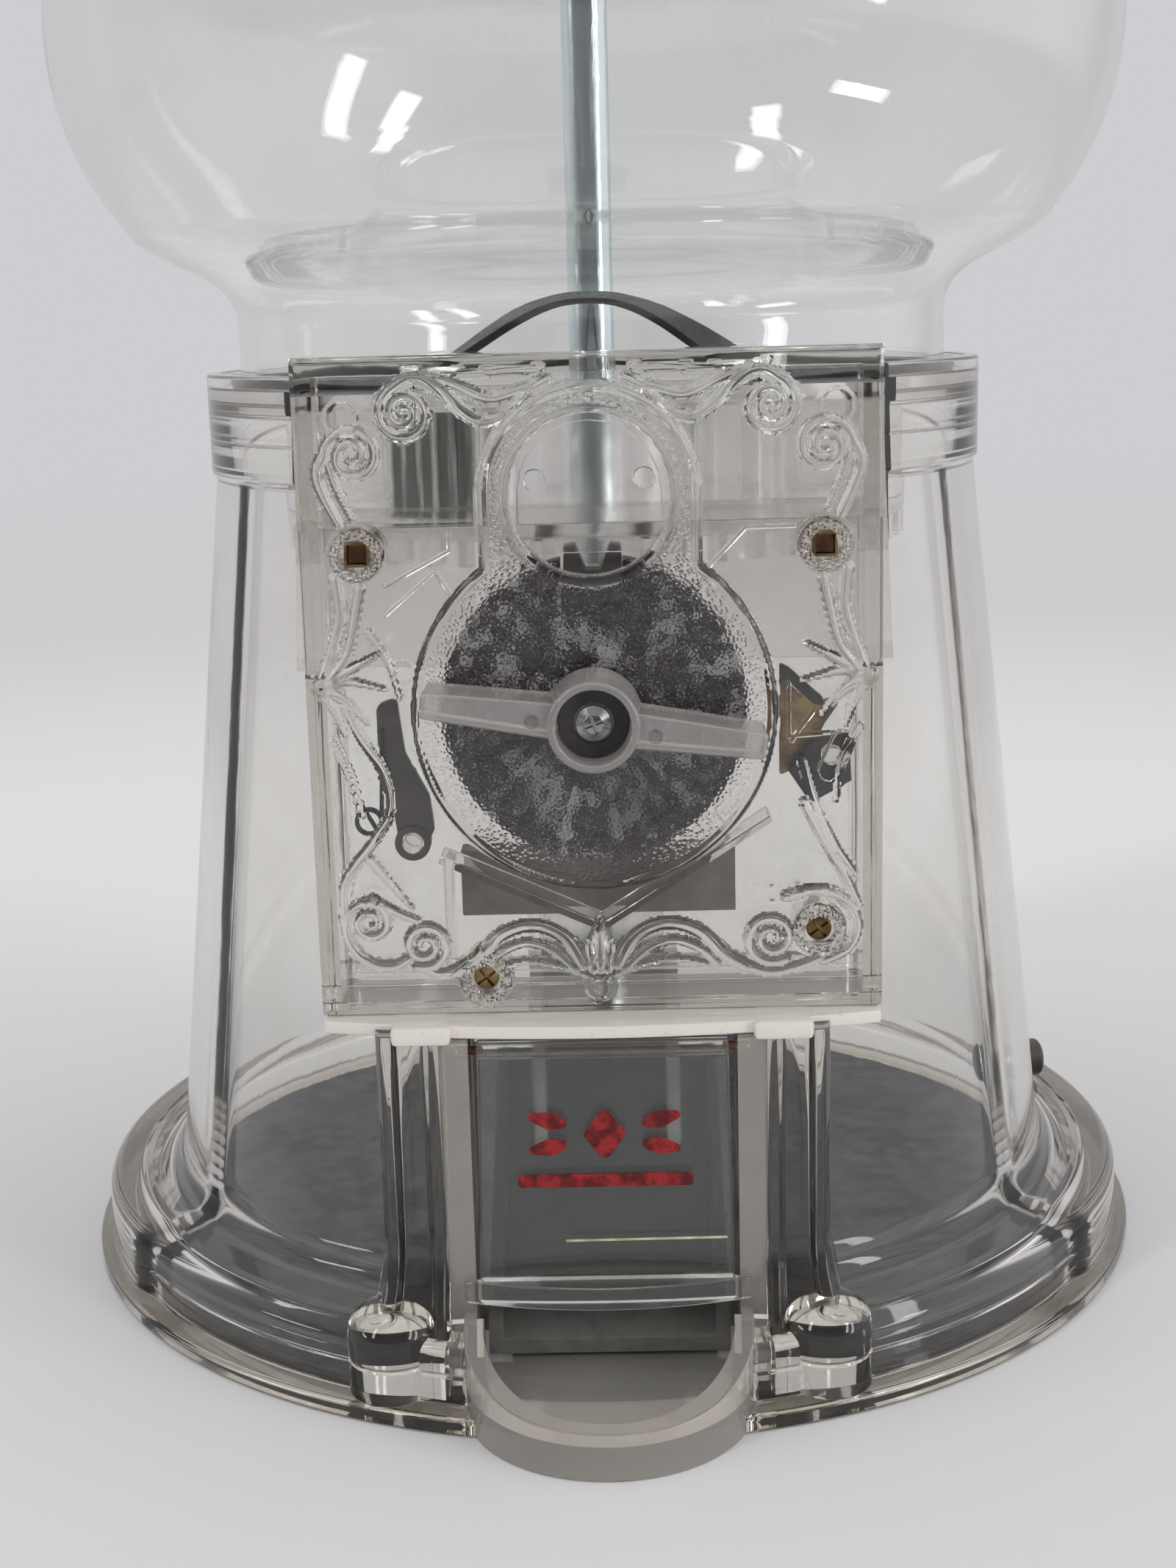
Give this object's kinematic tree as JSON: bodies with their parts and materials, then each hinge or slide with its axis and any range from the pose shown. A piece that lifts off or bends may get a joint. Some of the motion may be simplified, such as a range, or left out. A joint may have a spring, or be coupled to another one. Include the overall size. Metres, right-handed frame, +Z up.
{
  "type": "gumball machine",
  "caption": "Clear acrylic coin-operated gumball machine: turned body on a flanged base, front coin panel with winged handle, flap door and tray, glass globe on a centre rod, lid and knob.",
  "frame": {"origin": "on the centre rod's axis, at the underside of the base plate", "axes": "+Z up along the centre rod, front panel and tray towards -Y, +X to the right of someone facing the panel"},
  "size_m": [0.2286, 0.2416, 0.372],
  "materials": {
    "clear_acrylic": "clear, moulded, lightly scuffed, dust in the corners",
    "frosted_acrylic": "clear, scuffed to a slight haze",
    "globe_glass": "clear blown glass with a faint green edge",
    "charcoal_plastic": "dull charcoal, dusty and scuffed",
    "dark_plastic": "dark purple-grey, mottled",
    "brown_plastic": "dark brown, satin",
    "wheel_plastic": "translucent grey, satin",
    "zinc_steel": "zinc plated, slightly blue, rolled streaks",
    "spring_steel": "black spring wire",
    "brass": "dull brass",
    "black_rubber": "satin black",
    "rusty_steel": "rusty"
  },
  "bodies": {
    "body": {"body_shell": "clear_acrylic", "rear_plug": "black_rubber", "base_plate": "charcoal_plastic", "front_panel": "clear_acrylic", "panel_screw_1": "brass", "panel_screw_2": "brass", "panel_screw_3": "brass", "panel_screw_4": "brass", "coin_carrier": "clear_acrylic", "mechanism_plate": "clear_acrylic", "coin_block": "brown_plastic", "left_pawl_pin": "clear_acrylic", "left_pawl_spring": "spring_steel", "brass_gauge": "brass", "right_pawl_pin": "clear_acrylic", "hopper_housing": "clear_acrylic", "hopper_floor": "clear_acrylic", "gumball_chute": "clear_acrylic", "chute_ramp": "charcoal_plastic", "door_pin": "rusty_steel", "centre_rod": "zinc_steel", "rod_washer": "zinc_steel", "rod_nut": "zinc_steel", "globe": "globe_glass", "globe_gasket": "black_rubber"},
    "handle_and_wheel": {"handle": "frosted_acrylic", "handle_screw": "zinc_steel", "spindle": "zinc_steel", "spindle_washer": "zinc_steel", "spindle_clip": "spring_steel", "coin_wheel": "dark_plastic", "drive_gear": "dark_plastic"},
    "dispenser": {"dispensing_wheel": "wheel_plastic", "crown_gear": "wheel_plastic"},
    "door": {"chute_door": "frosted_acrylic"},
    "left_catch": {"left_pawl": "dark_plastic"},
    "right_catch": {"right_pawl": "dark_plastic"},
    "lid_cover": {"lid": "clear_acrylic"},
    "knob": {"lid_knob": "zinc_steel"}
  },
  "joints": [
    {"name": "handle_turn", "type": "hinge", "parent": "body", "child": "handle_and_wheel", "pos_m": [0, -0.085, 0.1277], "axis": [0, 1, 0], "continuous": true},
    {"name": "dispenser_turn", "type": "hinge", "parent": "body", "child": "dispenser", "pos_m": [0, 0, 0.17], "axis": [0, 0, 1], "continuous": true},
    {"name": "door_swing", "type": "hinge", "parent": "body", "child": "door", "pos_m": [0, -0.0944, 0.067], "axis": [-1, 0, 0], "range_deg": [0, 75]},
    {"name": "left_pawl_swing", "type": "hinge", "parent": "body", "child": "left_catch", "pos_m": [-0.0338, -0.0797, 0.1027], "axis": [0, 1, 0], "range_deg": [0, 10], "stiffness_Nm_per_rad": 0.005},
    {"name": "right_pawl_swing", "type": "hinge", "parent": "body", "child": "right_catch", "pos_m": [0.0424, -0.0804, 0.1176], "axis": [0, 1, 0], "range_deg": [0, 8], "stiffness_Nm_per_rad": 0.005},
    {"name": "lid_lift", "type": "slide", "parent": "body", "child": "lid_cover", "axis": [0, 0, 1], "range_m": [0, 0.06]},
    {"name": "knob_turn", "type": "hinge", "parent": "lid_cover", "child": "knob", "pos_m": [0, 0, 0.362], "axis": [0, 0, 1], "continuous": true}
  ],
  "couplings": [
    {"joint": "dispenser_turn", "follows": "handle_turn", "ratio": 0.4}
  ]
}
